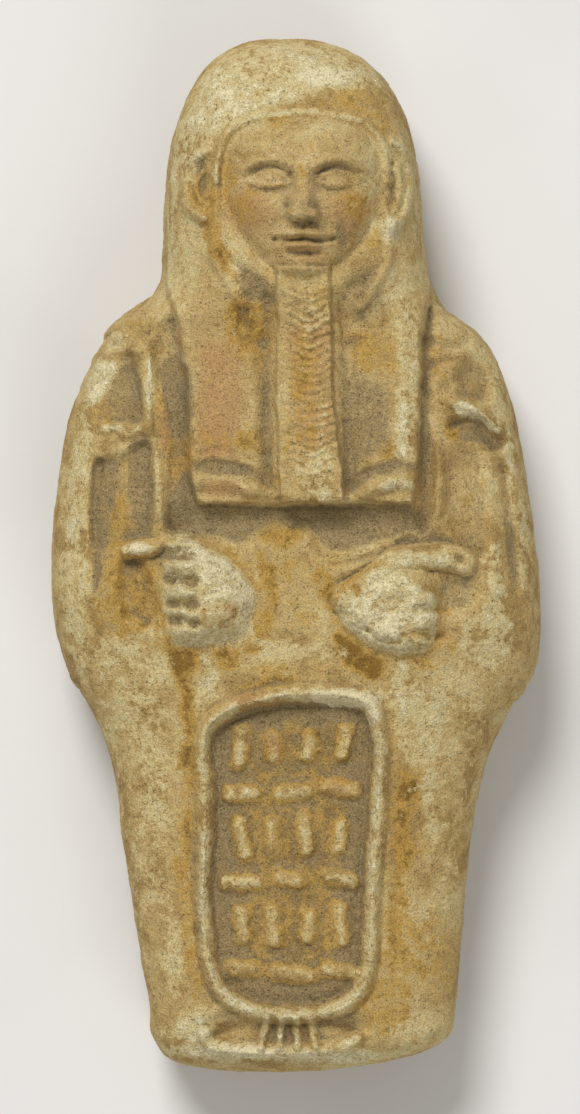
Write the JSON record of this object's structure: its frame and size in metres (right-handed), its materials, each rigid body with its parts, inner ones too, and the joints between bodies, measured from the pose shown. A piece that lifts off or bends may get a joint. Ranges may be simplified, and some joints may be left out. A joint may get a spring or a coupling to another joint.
{
  "type": "ushabti figurine",
  "caption": "Mummy-shaped clay funerary figurine with headdress, braided beard, two fists and a cartouche, lying on its flat back.",
  "frame": {"origin": "under the middle of the figure's box, on the flat of the back", "axes": "+Y from the foot to the crown, +Z out of the chest, +X to the right of someone looking down on the chest"},
  "size_m": [0.052, 0.11, 0.0281],
  "materials": {
    "fired_clay": "dry matt fired clay, buff with ochre stains, chalky worn edges and grey-brown dirt in the hollows"
  },
  "bodies": {
    "root": {"ushabti": "fired_clay"}
  },
  "joints": []
}
